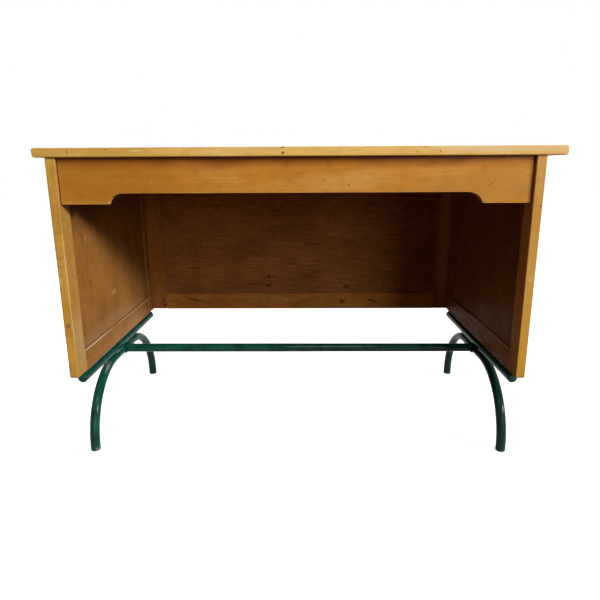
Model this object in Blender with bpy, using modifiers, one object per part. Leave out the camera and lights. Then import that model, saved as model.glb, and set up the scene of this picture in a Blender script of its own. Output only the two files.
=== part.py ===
"""A teacher's desk: a framed wooden carcase and apron on two arched legs of bent steel tube.

Metres, +Z up. The origin is on the floor under the middle of the tabletop. The sitter is on the -Y
side, where the shaped apron leaves the kneehole open, and a framed panel closes the +Y side.
"""

import math

import bmesh
import bpy
from mathutils import Vector

# Clearance between pieces that touch, and how far a cutter runs past what it cuts
FIT_GAP = 0.0003
OVERRUN = 0.002

# Tabletop, its two ends rounded over and its long edges only eased
TOP_LENGTH = 1.180
TOP_DEPTH = 0.650
TOP_THICKNESS = 0.0205
TOP_END_ROUND = 0.0065
TOP_ARRIS = 0.0025
TOP_ROUNDNESS = 5

# Carcase: how far the tabletop reaches past it on each side, its height and its height off the floor
LEFT_OVERHANG = 0.025
RIGHT_OVERHANG = 0.043
FRONT_OVERHANG = 0.006
REAR_OVERHANG = 0.008
CARCASE_HEIGHT = 0.526
LEG_HEIGHT = 0.232

# Framed panels: stiles and rails of one thickness round a thin panel held in a groove
FRAME_THICKNESS = 0.022
SIDE_STILE_WIDTH = 0.050
SIDE_RAIL_HEIGHT = 0.055
REAR_STILE_WIDTH = 0.054
REAR_RAIL_HEIGHT = 0.0565
REAR_FRAME_LIFT = 0.006
WOOD_ARRIS = 0.0012
ARRIS_ROUNDNESS = 2
PANEL_THICKNESS = 0.008
GROOVE_DEPTH = 0.008
PANEL_PLAY = 0.001
TENON_LENGTH = 0.030
TENON_THICKNESS = 0.007
TENON_SHOULDER = 0.003

# Dowels that join the rear frame to the side frames
DOWEL_RADIUS = 0.004
DOWEL_IN_SIDE = 0.014
DOWEL_IN_REAR = 0.024
DOWEL_CHAMFER = 0.001
DOWEL_HEIGHT_SHARES = (0.30, 0.72)

# Apron: deep ears at both ends, joined to the shallow middle by coves
APRON_THICKNESS = 0.020
APRON_RECESS = 0.006
APRON_HEIGHT = 0.104
APRON_MIDDLE_RISE = 0.0245
APRON_EAR_LENGTH = 0.1055
APRON_COVE_LENGTH = 0.030
APRON_LEFT_GAP = 0.0025
APRON_RIGHT_GAP = 0.0048
APRON_WORN_WIDTH = 0.003
APRON_WORN_HEIGHT = 0.024
COVE_STEPS = 7

# Glued corner blocks and screwed battens under the tabletop
BLOCK_WIDTH = 0.026
BLOCK_DEPTH = 0.030
BLOCK_HEIGHT = 0.070
BATTEN_WIDTH = 0.020
BATTEN_HEIGHT = 0.022
BATTEN_SCREW_SHARES = (0.18, 0.82)

# Steel tube, the same for every member of the base
TUBE_DIAMETER = 0.025
TUBE_WALL = 0.0015
TUBE_ROUNDNESS = 8
BEND_STEPS = 11
TUBE_INSET = 0.0153
TUBE_SET_BACK = 0.029
FRONT_FOOT_SET_BACK = 0.0646
REAR_FOOT_SET_BACK = 0.0494
FOOT_STRAIGHT = 0.0085
ARCH_BEND_SHARE = 0.70

# Steel plugs that close the tube ends
PLUG_DOME = 0.0055
PLUG_RIM = 0.0015
PLUG_SPIGOT = 0.012
FOOT_RIM = 0.003
FOOT_EDGE = 0.002
TURNED_STEPS = 20
DOME_STEPS = 4

# Weld beads: along the arch where the tube rests on it, and round the stretcher's ends
WELD_RADIUS = 0.002
WELD_STANDOFF = 0.006
WELD_STEPS = 10
END_WELD_ANGLE = 30
END_WELD_STEPS = 20
END_WELD_EASE = 0.003

# Wood screws
SCREW_RADIUS = 0.0022
SCREW_HEAD_RADIUS = 0.0046
SCREW_HEAD_HEIGHT = 0.0028
SCREW_TIP = 0.006
SCREW_STEPS = 12
SCREW_SLOT_WIDTH = 0.0011
SCREW_SLOT_DEPTH = 0.0012
BASE_SCREW_BITE = 0.026
BASE_SCREW_SET_IN = 0.100
TOP_SCREW_BITE = 0.013

# Values that follow from the sizes above
CARCASE_WIDTH = TOP_LENGTH - LEFT_OVERHANG - RIGHT_OVERHANG
CARCASE_DEPTH = TOP_DEPTH - FRONT_OVERHANG - REAR_OVERHANG
CARCASE_X = (LEFT_OVERHANG - RIGHT_OVERHANG) / 2
CARCASE_Y = FRONT_OVERHANG - TOP_DEPTH / 2
INNER_HALF = CARCASE_WIDTH / 2 - FRAME_THICKNESS
REAR_FACE = CARCASE_DEPTH - FRAME_THICKNESS
APRON_BACK = APRON_RECESS + APRON_THICKNESS
TUBE_RADIUS = TUBE_DIAMETER / 2
TUBE_X = CARCASE_WIDTH / 2 - TUBE_INSET
RAIL_Z = LEG_HEIGHT - FIT_GAP - TUBE_RADIUS
ARCH_Z = RAIL_Z - TUBE_DIAMETER - FIT_GAP
FRONT_FOOT = FRONT_FOOT_SET_BACK
REAR_FOOT = CARCASE_DEPTH - REAR_FOOT_SET_BACK
ARCH_MIDDLE = (FRONT_FOOT + REAR_FOOT) / 2
ARCH_HALF = (REAR_FOOT - FRONT_FOOT) / 2
ARCH_BEND = min(ARCH_Z - FOOT_RIM - FIT_GAP - FOOT_STRAIGHT, ARCH_HALF * ARCH_BEND_SHARE)
ARCH_FLAT_HALF = ARCH_HALF - ARCH_BEND
SIDES = (("left", -1), ("right", 1))

# Angles, in degrees, past which an edge is shaded sharp or is eased by a bevel
SHARP_ANGLE = 40
EASED_ANGLE = 50


# Scene and objects


def clear_scene():
    for obj in list(bpy.data.objects):
        bpy.data.objects.remove(obj, do_unlink=True)


def new_collection(name):
    collection = bpy.data.collections.new(name)
    bpy.context.scene.collection.children.link(collection)
    return collection


def linear(channel):
    """One sRGB channel from 0 to 1 as the linear value that a shader takes."""
    return channel / 12.92 if channel <= 0.04045 else ((channel + 0.055) / 1.055) ** 2.4


def new_material(name, colour, roughness, metallic=0.0):
    material = bpy.data.materials.new(name)
    material.use_nodes = True
    shader = material.node_tree.nodes["Principled BSDF"]
    channels = [int(colour[place : place + 2], 16) / 255 for place in (1, 3, 5)]
    shader.inputs["Base Color"].default_value = [linear(value) for value in channels] + [1.0]
    shader.inputs["Roughness"].default_value = roughness
    shader.inputs["Metallic"].default_value = metallic
    return material


clear_scene()
DESK = new_collection("teacher_desk")
CUTTERS = new_collection("cutters")
EDGE_BEECH = new_material("varnished beech", "#C69746", 0.35)
APRON_BEECH = new_material("amber varnished beech", "#B57A2C", 0.35)
PANEL_PLY = new_material("varnished plywood", "#84592C", 0.45)
BLOCK_BEECH = new_material("bare beech", "#B88E5C", 0.7)
GREEN_ENAMEL = new_material("green gloss enamel on steel", "#14503B", 0.25)
SCREW_STEEL = new_material("bright steel", "#9C9A94", 0.35, 1.0)


def new_empty(name, location, turn=0.0, parent=None):
    empty = bpy.data.objects.new(name, None)
    empty.location = location
    empty.rotation_euler = (0.0, 0.0, turn)
    empty.parent = parent
    DESK.objects.link(empty)
    return empty


def place(name, data, location, parent, material):
    """Links new object data as a sub-part, or as a hidden helper when it has no material."""
    obj = bpy.data.objects.new(name, data)
    obj.location = location
    obj.parent = parent
    if material is None:
        obj.hide_render = True
        obj.display_type = "WIRE"
        CUTTERS.objects.link(obj)
    else:
        obj.data.materials.append(material)
        DESK.objects.link(obj)
    return obj


def smooth(obj):
    obj.data.shade_smooth()
    obj.data.set_sharp_from_angle(angle=math.radians(SHARP_ANGLE))
    return obj


def cut(obj, cutter, operation="DIFFERENCE"):
    modifier = obj.modifiers.new(cutter.name, "BOOLEAN")
    modifier.operation = operation
    modifier.solver = "EXACT"
    modifier.object = cutter


# Shapes


def box(name, x, y, z, parent, material=None, grain=None, arris=WOOD_ARRIS, steps=ARRIS_ROUNDNESS):
    """A box between pairs of coordinates. Its four edges along the grain axis are rounded."""
    spans = [sorted(pair) for pair in (x, y, z)]
    size = Vector([high - low for low, high in spans])
    middle = Vector([(low + high) / 2 for low, high in spans])
    shape = bmesh.new()
    bmesh.ops.create_cube(shape, size=1.0)
    bmesh.ops.scale(shape, vec=size, verts=shape.verts)
    if grain is not None:
        edges = [edge for edge in shape.edges if abs((edge.verts[0].co - edge.verts[1].co)[grain]) > 0]
        bmesh.ops.bevel(shape, geom=edges, offset=arris, segments=steps, profile=0.5, affect="EDGES")
    mesh = bpy.data.meshes.new(name)
    shape.to_mesh(mesh)
    shape.free()
    return place(name, mesh, middle, parent, material)


def turned(name, profile, location, parent, material=None, rotation=(0.0, 0.0, 0.0), steps=TURNED_STEPS):
    """A turned solid: (radius, height) points from its top pole down its outer side to its bottom pole."""
    mesh = bpy.data.meshes.new(name)
    points = [(radius, 0.0, height) for radius, height in profile]
    mesh.from_pydata(points, [(at, at + 1) for at in range(len(points) - 1)], [])
    obj = place(name, mesh, location, parent, material)
    obj.rotation_euler = rotation
    screw = obj.modifiers.new("turn", "SCREW")
    screw.steps = steps
    screw.render_steps = steps
    screw.use_merge_vertices = True
    screw.merge_threshold = FIT_GAP / 100
    screw.use_smooth_shade = True
    return obj


def rod_cutter(name, start, end, radius, parent):
    """A cylinder between two points, for a hole or a cope."""
    start, end = Vector(start), Vector(end)
    shape = bmesh.new()
    bmesh.ops.create_cone(
        shape,
        cap_ends=True,
        segments=TURNED_STEPS,
        radius1=radius,
        radius2=radius,
        depth=(end - start).length,
    )
    mesh = bpy.data.meshes.new(name)
    shape.to_mesh(mesh)
    shape.free()
    obj = place(name, mesh, (start + end) / 2, parent, None)
    obj.rotation_euler = (end - start).to_track_quat("Z", "Y").to_euler()
    return obj


def steel_tube(name, points, parent):
    """A hollow tube with open ends along a run of points."""
    curve = bpy.data.curves.new(name, "CURVE")
    curve.dimensions = "3D"
    curve.bevel_depth = TUBE_RADIUS
    curve.bevel_resolution = TUBE_ROUNDNESS
    curve.use_fill_caps = False
    spline = curve.splines.new("POLY")
    spline.points.add(len(points) - 1)
    for point, place_at in zip(spline.points, points):
        point.co = (*place_at, 1.0)
    guide = bpy.data.objects.new(name, curve)
    DESK.objects.link(guide)
    graph = bpy.context.evaluated_depsgraph_get()
    mesh = bpy.data.meshes.new_from_object(guide.evaluated_get(graph))
    bpy.data.objects.remove(guide, do_unlink=True)
    mesh.materials.clear()
    mesh.name = name
    obj = smooth(place(name, mesh, (0.0, 0.0, 0.0), parent, GREEN_ENAMEL))
    wall = obj.modifiers.new("wall", "SOLIDIFY")
    wall.thickness = TUBE_WALL
    wall.offset = -1.0
    wall.use_rim = True
    return obj


def arc(middle_a, middle_b, radius, start, end, steps):
    """Points (a, b) on a circle from one angle to another, in degrees."""
    angles = [math.radians(start + (end - start) * step / steps) for step in range(steps + 1)]
    return [(middle_a + radius * math.cos(turn), middle_b + radius * math.sin(turn)) for turn in angles]


# Framed panels


def join_rail(rail, stile, frame, edge, outward, low, high):
    """A tenon on one end of a rail, and the mortise in the stile that takes it."""
    middle = FRAME_THICKNESS / 2
    half = TENON_THICKNESS / 2
    root = edge - outward * TENON_LENGTH / 2
    tip = edge + outward * TENON_LENGTH
    tenon = box(f"{rail.name}_tenon", (root, tip), (middle - half, middle + half), (low, high), frame)
    cut(rail, tenon, "UNION")
    mortise = box(
        f"{rail.name}_mortise",
        (edge - outward * OVERRUN, tip + outward * FIT_GAP),
        (middle - half - FIT_GAP, middle + half + FIT_GAP),
        (low - FIT_GAP, high + FIT_GAP),
        frame,
    )
    cut(stile, mortise)


def framed_panel(prefix, frame, names, width, bottom, top, stile_width, rail_height):
    """Two stiles, two rails and a thin panel, in the frame's own axes: X along the rails, Y through
    the thickness, Z up. Returns the stiles and rails by name."""
    thickness = (0.0, FRAME_THICKNESS)
    first = stile_width
    last = width - stile_width
    parts = {}
    for name, span in zip(names, ((0.0, first), (last, width))):
        stile = box(f"{prefix}_{name}_stile", span, thickness, (bottom, top), frame, EDGE_BEECH, grain=2)
        parts[name] = stile
    shoulder = GROOVE_DEPTH + TENON_SHOULDER
    between = (first + FIT_GAP, last - FIT_GAP)
    levels = {"bottom": (bottom, bottom + rail_height), "top": (top - rail_height, top)}
    for name, (low, high) in levels.items():
        rail = box(f"{prefix}_{name}_rail", between, thickness, (low, high), frame, EDGE_BEECH, grain=0)
        join_rail(rail, parts[names[0]], frame, first, -1, low + shoulder, high - shoulder)
        join_rail(rail, parts[names[1]], frame, last, 1, low + shoulder, high - shoulder)
        parts[name] = rail
    add_panel(prefix, frame, parts, names, (first, last), (bottom + rail_height, top - rail_height))
    return parts


def add_panel(prefix, frame, parts, names, across, upright):
    """The panel, and the groove that holds it in the two stiles and the two rails."""
    first, last = across
    low, high = upright
    middle = FRAME_THICKNESS / 2
    half = PANEL_THICKNESS / 2
    slot = (middle - half - FIT_GAP, middle + half + FIT_GAP)
    depth = (low - GROOVE_DEPTH, high + GROOVE_DEPTH)
    stile_span = (first - GROOVE_DEPTH, last + GROOVE_DEPTH)
    stile_groove = box(f"{prefix}_stile_groove", stile_span, slot, depth, frame)
    rail_groove = box(f"{prefix}_rail_groove", (first, last), slot, depth, frame)
    for name in names:
        cut(parts[name], stile_groove)
    for name in ("bottom", "top"):
        cut(parts[name], rail_groove)
    reach = GROOVE_DEPTH - PANEL_PLAY
    box(
        f"{prefix}_panel",
        (first - reach, last + reach),
        (middle - half, middle + half),
        (low - reach, high + reach),
        frame,
        PANEL_PLY,
    )


def side_frame(side, sign, carcase):
    """One end of the desk: a framed panel that runs from front to back."""
    inner_or_outer = CARCASE_WIDTH / 2 if sign > 0 else -INNER_HALF
    frame = new_empty(f"side_{side}", (inner_or_outer, 0.0, 0.0), math.pi / 2, carcase)
    names = ("front", "rear")
    return framed_panel(
        f"side_{side}",
        frame,
        names,
        CARCASE_DEPTH,
        0.0,
        CARCASE_HEIGHT,
        SIDE_STILE_WIDTH,
        SIDE_RAIL_HEIGHT,
    )


def rear_frame(carcase):
    """The modesty panel: a framed panel between the side frames, at the back."""
    reach = INNER_HALF - FIT_GAP
    frame = new_empty("rear_frame", (-reach, REAR_FACE, 0.0), 0.0, carcase)
    names = ("left", "right")
    return framed_panel(
        "rear",
        frame,
        names,
        2 * reach,
        REAR_FRAME_LIFT,
        CARCASE_HEIGHT,
        REAR_STILE_WIDTH,
        REAR_RAIL_HEIGHT,
    )


def dowel_profile(length):
    half = length / 2
    return [
        (0.0, half),
        (DOWEL_RADIUS - DOWEL_CHAMFER, half),
        (DOWEL_RADIUS, half - DOWEL_CHAMFER),
        (DOWEL_RADIUS, DOWEL_CHAMFER - half),
        (DOWEL_RADIUS - DOWEL_CHAMFER, -half),
        (0.0, -half),
    ]


def add_dowels(side, sign, side_parts, rear_parts, carcase):
    """Wooden pins across the joint between a side frame and the rear frame."""
    deep = REAR_FACE + FRAME_THICKNESS / 2
    outer = sign * (INNER_HALF + DOWEL_IN_SIDE)
    inner = sign * (INNER_HALF - DOWEL_IN_REAR)
    for at, share in enumerate(DOWEL_HEIGHT_SHARES, 1):
        height = CARCASE_HEIGHT * share
        hole = rod_cutter(
            f"dowel_hole_{side}_{at}",
            (outer + sign * FIT_GAP, deep, height),
            (inner - sign * FIT_GAP, deep, height),
            DOWEL_RADIUS + FIT_GAP,
            carcase,
        )
        cut(side_parts["rear"], hole)
        cut(rear_parts[side], hole)
        turned(
            f"dowel_{side}_{at}",
            dowel_profile(DOWEL_IN_SIDE + DOWEL_IN_REAR),
            ((outer + inner) / 2, deep, height),
            carcase,
            BLOCK_BEECH,
            (0.0, math.pi / 2, 0.0),
        )


# Apron and tabletop


def apron_outline():
    """The apron seen from the front, as (x, z) points in the carcase's axes."""
    left = -INNER_HALF + APRON_LEFT_GAP
    right = INNER_HALF - APRON_RIGHT_GAP
    top = CARCASE_HEIGHT
    low = top - APRON_HEIGHT
    rise = APRON_MIDDLE_RISE
    ear_left = left + APRON_EAR_LENGTH
    ear_right = right - APRON_EAR_LENGTH
    stretch = APRON_COVE_LENGTH / rise
    cove = arc(0.0, 0.0, rise, 180, 90, COVE_STEPS)
    up = [(ear_left + APRON_COVE_LENGTH + x * stretch, low + z) for x, z in cove]
    down = [(ear_right - APRON_COVE_LENGTH - x * stretch, low + z) for x, z in reversed(cove)]
    worn = [(right - APRON_WORN_WIDTH, low), (right, low + APRON_WORN_HEIGHT)]
    return [(left, top), (left, low), *up, *down, *worn, (right, top)]


def make_apron(carcase):
    """A flat board with a shaped lower edge, set back from the front faces of the side frames."""
    curve = bpy.data.curves.new("apron", "CURVE")
    curve.dimensions = "2D"
    curve.fill_mode = "BOTH"
    curve.extrude = APRON_THICKNESS / 2
    outline = apron_outline()
    spline = curve.splines.new("POLY")
    spline.points.add(len(outline) - 1)
    for point, (x, z) in zip(spline.points, outline):
        point.co = (x, z, 0.0, 1.0)
    spline.use_cyclic_u = True
    obj = place("apron", curve, (0.0, APRON_RECESS + APRON_THICKNESS / 2, 0.0), carcase, APRON_BEECH)
    obj.rotation_euler = (math.pi / 2, 0.0, 0.0)
    weld = obj.modifiers.new("weld", "WELD")
    weld.merge_threshold = FIT_GAP / 10
    bevel = obj.modifiers.new("arris", "BEVEL")
    bevel.width = WOOD_ARRIS
    bevel.segments = ARRIS_ROUNDNESS
    bevel.limit_method = "ANGLE"
    bevel.angle_limit = math.radians(SHARP_ANGLE)
    return obj


def make_tabletop():
    """One glued-up board that rests on the carcase, level with the top of the side frames."""
    low = LEG_HEIGHT + CARCASE_HEIGHT + FIT_GAP
    obj = box(
        "tabletop",
        (-TOP_LENGTH / 2, TOP_LENGTH / 2),
        (-TOP_DEPTH / 2, TOP_DEPTH / 2),
        (low, low + TOP_THICKNESS),
        None,
        EDGE_BEECH,
        grain=1,
        arris=min(TOP_END_ROUND, TOP_THICKNESS / 2 - FIT_GAP),
        steps=TOP_ROUNDNESS,
    )
    bevel = obj.modifiers.new("arris", "BEVEL")
    bevel.width = min(TOP_ARRIS, TOP_END_ROUND / 2)
    bevel.segments = ARRIS_ROUNDNESS
    bevel.limit_method = "ANGLE"
    bevel.angle_limit = math.radians(EASED_ANGLE)
    return obj


# Screws, blocks and battens


def screw_profile(length):
    """A round-headed screw that points up, from its tip to the top of its head."""
    head = arc(0.0, 0.0, 1.0, 0, -90, DOME_STEPS)
    dome = [(SCREW_HEAD_RADIUS * x, SCREW_HEAD_HEIGHT * z) for x, z in head[:-1]]
    return [
        (0.0, length),
        (SCREW_RADIUS, length - SCREW_TIP),
        (SCREW_RADIUS, 0.0),
        *dome,
        (0.0, -SCREW_HEAD_HEIGHT),
    ]


def add_screw(name, seat, length, parent, pieces):
    """A slotted wood screw up through its pieces, from a seat on the underside of the first one."""
    x, y, z = seat
    hole = rod_cutter(
        f"{name}_hole",
        (x, y, z - SCREW_HEAD_HEIGHT),
        (x, y, z + length + FIT_GAP),
        SCREW_RADIUS + FIT_GAP,
        parent,
    )
    for piece in pieces:
        cut(piece, hole)
    screw = turned(
        name,
        screw_profile(length),
        (x, y, z - FIT_GAP),
        parent,
        SCREW_STEEL,
        steps=SCREW_STEPS,
    )
    bottom = z - FIT_GAP - SCREW_HEAD_HEIGHT
    slot = box(
        f"{name}_slot",
        (x - SCREW_HEAD_RADIUS - OVERRUN, x + SCREW_HEAD_RADIUS + OVERRUN),
        (y - SCREW_SLOT_WIDTH / 2, y + SCREW_SLOT_WIDTH / 2),
        (bottom - OVERRUN, bottom + SCREW_SLOT_DEPTH),
        parent,
    )
    cut(screw, slot)


def corner_blocks(carcase):
    """Glued blocks: the front pair holds the apron's ends, the rear pair stiffens the back corners."""
    rows = {
        "apron": (APRON_BACK + FIT_GAP, APRON_BACK + FIT_GAP + BLOCK_DEPTH),
        "rear": (REAR_FACE - FIT_GAP - BLOCK_DEPTH, REAR_FACE - FIT_GAP),
    }
    wall = INNER_HALF - FIT_GAP
    for row, depth in rows.items():
        for side, sign in SIDES:
            box(
                f"{row}_block_{side}",
                (sign * wall, sign * (wall - BLOCK_WIDTH)),
                depth,
                (CARCASE_HEIGHT - BLOCK_HEIGHT, CARCASE_HEIGHT),
                carcase,
                BLOCK_BEECH,
                grain=2,
            )


def batten(name, x, y, grain, carcase, tabletop):
    """A strip glued along a rail under the tabletop, and its two screws up into the tabletop."""
    bottom = CARCASE_HEIGHT - BATTEN_HEIGHT
    strip = box(name, x, y, (bottom, CARCASE_HEIGHT), carcase, BLOCK_BEECH, grain=grain)
    spans = (sorted(x), sorted(y))
    for at, share in enumerate(BATTEN_SCREW_SHARES, 1):
        spot = [(low + high) / 2 for low, high in spans]
        low, high = spans[grain]
        spot[grain] = low + share * (high - low)
        length = BATTEN_HEIGHT + FIT_GAP + TOP_SCREW_BITE
        add_screw(f"{name}_screw_{at}", (*spot, bottom), length, carcase, (strip, tabletop))


def add_battens(carcase, tabletop):
    """Battens along the two side frames and the rear frame, each between its corner blocks."""
    wall = INNER_HALF - FIT_GAP
    run = (
        APRON_BACK + FIT_GAP + BLOCK_DEPTH + FIT_GAP,
        REAR_FACE - FIT_GAP - BLOCK_DEPTH - FIT_GAP,
    )
    for side, sign in SIDES:
        across = (sign * wall, sign * (wall - BATTEN_WIDTH))
        batten(f"side_batten_{side}", across, run, 1, carcase, tabletop)
    reach = wall - BLOCK_WIDTH - FIT_GAP
    back = REAR_FACE - FIT_GAP
    batten("rear_batten", (-reach, reach), (back - BATTEN_WIDTH, back), 0, carcase, tabletop)


# Steel base


def plug_profile():
    """A domed plug for the end of a tube, seen with its dome up."""
    dome = [(TUBE_RADIUS * x, PLUG_DOME * z) for x, z in arc(0.0, 0.0, 1.0, 90, 0, DOME_STEPS)]
    spigot = TUBE_RADIUS - TUBE_WALL - FIT_GAP
    return [
        (0.0, PLUG_DOME),
        *dome[1:],
        (TUBE_RADIUS, -PLUG_RIM),
        (spigot, -PLUG_RIM),
        (spigot, -PLUG_RIM - PLUG_SPIGOT),
        (0.0, -PLUG_RIM - PLUG_SPIGOT),
    ]


def foot_profile():
    """The plug that closes a leg and stands on the floor."""
    spigot = TUBE_RADIUS - TUBE_WALL - FIT_GAP
    edge = arc(TUBE_RADIUS - FOOT_EDGE, FOOT_EDGE, FOOT_EDGE, 0, -90, DOME_STEPS)
    return [
        (0.0, FOOT_RIM + PLUG_SPIGOT),
        (spigot, FOOT_RIM + PLUG_SPIGOT),
        (spigot, FOOT_RIM),
        (TUBE_RADIUS, FOOT_RIM),
        *edge,
        (0.0, 0.0),
    ]


def arch_points(x):
    """The centreline of one bent leg, from the front foot over the top to the rear foot."""
    spring = ARCH_Z - ARCH_BEND
    foot = FOOT_RIM + FIT_GAP
    rise = arc(FRONT_FOOT + ARCH_BEND, spring, ARCH_BEND, 180, 90, BEND_STEPS)
    fall = arc(REAR_FOOT - ARCH_BEND, spring, ARCH_BEND, 90, 0, BEND_STEPS)
    return [(x, y, z) for y, z in [(FRONT_FOOT, foot), *rise, *fall, (REAR_FOOT, foot)]]


def weld_bead(name, x, start, end, base):
    """A bead in the groove between the arch and the tube above it."""
    half = (end - start) / 2
    cap = arc(0.0, 0.0, WELD_RADIUS, 90, 0, DOME_STEPS)
    upper = [(radius, half - WELD_RADIUS + height) for radius, height in cap]
    lower = [(radius, -height) for radius, height in reversed(upper)]
    turned(
        name,
        upper + lower,
        (x, (start + end) / 2, (RAIL_Z + ARCH_Z) / 2),
        base,
        GREEN_ENAMEL,
        (math.pi / 2, 0.0, 0.0),
        WELD_STEPS,
    )


def add_welds(side, sign, base):
    """Beads along the flat top of the arch. The inner side leaves room for the stretcher."""
    across = math.sqrt((TUBE_RADIUS + FIT_GAP + WELD_RADIUS) ** 2 - ((RAIL_Z - ARCH_Z) / 2) ** 2)
    axis = sign * TUBE_X
    middle = ARCH_MIDDLE
    near = TUBE_RADIUS + WELD_STANDOFF
    weld_bead(
        f"weld_outer_{side}",
        axis + sign * across,
        middle - ARCH_FLAT_HALF,
        middle + ARCH_FLAT_HALF,
        base,
    )
    inside = axis - sign * across
    weld_bead(f"weld_inner_front_{side}", inside, middle - ARCH_FLAT_HALF, middle - near, base)
    weld_bead(f"weld_inner_rear_{side}", inside, middle + near, middle + ARCH_FLAT_HALF, base)


def side_base(side, sign, base, bottom_rail):
    """The straight tube under one side frame, and the arched leg welded below it."""
    axis = sign * TUBE_X
    start = TUBE_SET_BACK + PLUG_DOME + PLUG_RIM + FIT_GAP
    end = CARCASE_DEPTH - start
    rail = steel_tube(f"base_tube_{side}", [(axis, start, RAIL_Z), (axis, end, RAIL_Z)], base)
    ends = {"front": (start - FIT_GAP - PLUG_RIM, 1), "rear": (end + FIT_GAP + PLUG_RIM, -1)}
    for name, (y, turn) in ends.items():
        turned(
            f"tube_plug_{name}_{side}",
            plug_profile(),
            (axis, y, RAIL_Z),
            base,
            GREEN_ENAMEL,
            (turn * math.pi / 2, 0.0, 0.0),
        )
    steel_tube(f"arch_leg_{side}", arch_points(axis), base)
    for name, y in (("front", FRONT_FOOT), ("rear", REAR_FOOT)):
        turned(f"foot_{name}_{side}", foot_profile(), (axis, y, 0.0), base, GREEN_ENAMEL)
    spots = {"front": BASE_SCREW_SET_IN, "rear": CARCASE_DEPTH - BASE_SCREW_SET_IN}
    for name, y in spots.items():
        seat = (axis, y, RAIL_Z - TUBE_RADIUS)
        length = TUBE_DIAMETER + FIT_GAP + BASE_SCREW_BITE
        add_screw(f"base_screw_{name}_{side}", seat, length, base, (rail, bottom_rail))
    add_welds(side, sign, base)


def make_stretcher(base):
    """The cross tube between the arches, its ends coped to sit against them."""
    ends = [(-TUBE_X, ARCH_MIDDLE, ARCH_Z), (TUBE_X, ARCH_MIDDLE, ARCH_Z)]
    stretcher = steel_tube("stretcher", ends, base)
    for side, sign in SIDES:
        cope = rod_cutter(
            f"stretcher_cope_{side}",
            (sign * TUBE_X, ARCH_MIDDLE - TUBE_DIAMETER, ARCH_Z),
            (sign * TUBE_X, ARCH_MIDDLE + TUBE_DIAMETER, ARCH_Z),
            TUBE_RADIUS + FIT_GAP,
            base,
        )
        cut(stretcher, cope)
        stretcher_weld(side, sign, base)


def stretcher_weld(side, sign, base):
    """A bead along the cope, down one side of the stretcher, under it and up the other side. Its
    centreline keeps one distance from the axes of both tubes, and is eased where it turns under them."""
    reach = TUBE_RADIUS + FIT_GAP + WELD_RADIUS
    start = math.radians(END_WELD_ANGLE)
    turn = -(math.pi + 2 * start)
    curve = bpy.data.curves.new(f"weld_stretcher_{side}", "CURVE")
    curve.dimensions = "3D"
    curve.bevel_depth = WELD_RADIUS
    curve.bevel_resolution = WELD_STEPS // 2 - 2
    curve.use_fill_caps = True
    spline = curve.splines.new("POLY")
    spline.points.add(END_WELD_STEPS)
    for step, point in enumerate(spline.points):
        angle = start + turn * step / END_WELD_STEPS
        across = reach * math.cos(angle)
        inset = math.hypot(across, END_WELD_EASE)
        point.co = (-sign * inset, across, reach * math.sin(angle), 1.0)
    place(curve.name, curve, (sign * TUBE_X, ARCH_MIDDLE, ARCH_Z), base, GREEN_ENAMEL)


def main():
    carcase = new_empty("carcase", (CARCASE_X, CARCASE_Y, LEG_HEIGHT))
    base = new_empty("base", (CARCASE_X, CARCASE_Y, 0.0))
    tabletop = make_tabletop()
    sides = {side: side_frame(side, sign, carcase) for side, sign in SIDES}
    rear = rear_frame(carcase)
    for side, sign in SIDES:
        add_dowels(side, sign, sides[side], rear, carcase)
        side_base(side, sign, base, sides[side]["bottom"])
    make_apron(carcase)
    corner_blocks(carcase)
    add_battens(carcase, tabletop)
    make_stretcher(base)


main()
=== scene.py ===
# %% [markdown]
# # A teacher's desk in varnished beech on a green tube base
#
# The desk is an old school one. Its carcase is solid beech under amber varnish: two framed side
# panels, a framed back and a shaped apron under a plain top. It stands on enamelled steel tube.
#
# The carcase and base come as a finished CAD frame with every board and tube in its place. Here each
# visible board and tube is modelled again with finer edges, then finished with its own material.

import math
import random

import bmesh
import bpy
from mathutils import Euler, Matrix, Vector


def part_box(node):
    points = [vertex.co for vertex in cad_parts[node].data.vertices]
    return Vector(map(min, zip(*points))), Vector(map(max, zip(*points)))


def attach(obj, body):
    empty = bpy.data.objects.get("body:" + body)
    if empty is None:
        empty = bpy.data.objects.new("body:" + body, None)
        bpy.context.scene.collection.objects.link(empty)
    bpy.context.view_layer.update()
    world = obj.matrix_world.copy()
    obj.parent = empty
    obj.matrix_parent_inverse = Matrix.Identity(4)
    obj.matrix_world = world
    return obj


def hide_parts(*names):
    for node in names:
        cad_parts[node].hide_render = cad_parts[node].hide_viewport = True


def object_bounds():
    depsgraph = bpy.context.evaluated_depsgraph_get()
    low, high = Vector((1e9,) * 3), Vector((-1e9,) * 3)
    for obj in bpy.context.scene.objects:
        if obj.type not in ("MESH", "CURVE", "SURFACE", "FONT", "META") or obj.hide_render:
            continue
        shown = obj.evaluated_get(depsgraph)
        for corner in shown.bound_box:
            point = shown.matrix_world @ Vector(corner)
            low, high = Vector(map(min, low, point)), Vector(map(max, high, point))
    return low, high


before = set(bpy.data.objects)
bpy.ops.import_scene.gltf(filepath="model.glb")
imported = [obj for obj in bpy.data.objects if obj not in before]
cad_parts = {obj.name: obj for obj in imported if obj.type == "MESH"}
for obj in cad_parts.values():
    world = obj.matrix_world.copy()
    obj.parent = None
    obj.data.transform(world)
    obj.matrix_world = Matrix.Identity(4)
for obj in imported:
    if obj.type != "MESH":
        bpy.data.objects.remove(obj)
cad_box = [list(corner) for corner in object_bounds()]
bpy.ops.object.select_all(action="DESELECT")
cad_corners = [[round(value, 4) for value in corner] for corner in cad_box]
print("CAD nodes:", len(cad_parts), "box:", cad_corners)

# %% [markdown]
# ## Camera
#
# The photo was taken from the sitter's side, with the lens just under the level of the tabletop. So
# the top isn't seen at all, and the far feet look higher than the near ones. Those lines gave the
# camera's place, its tilt and its focal length. A shift of the sensor stands for the crop of the photo.

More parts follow.
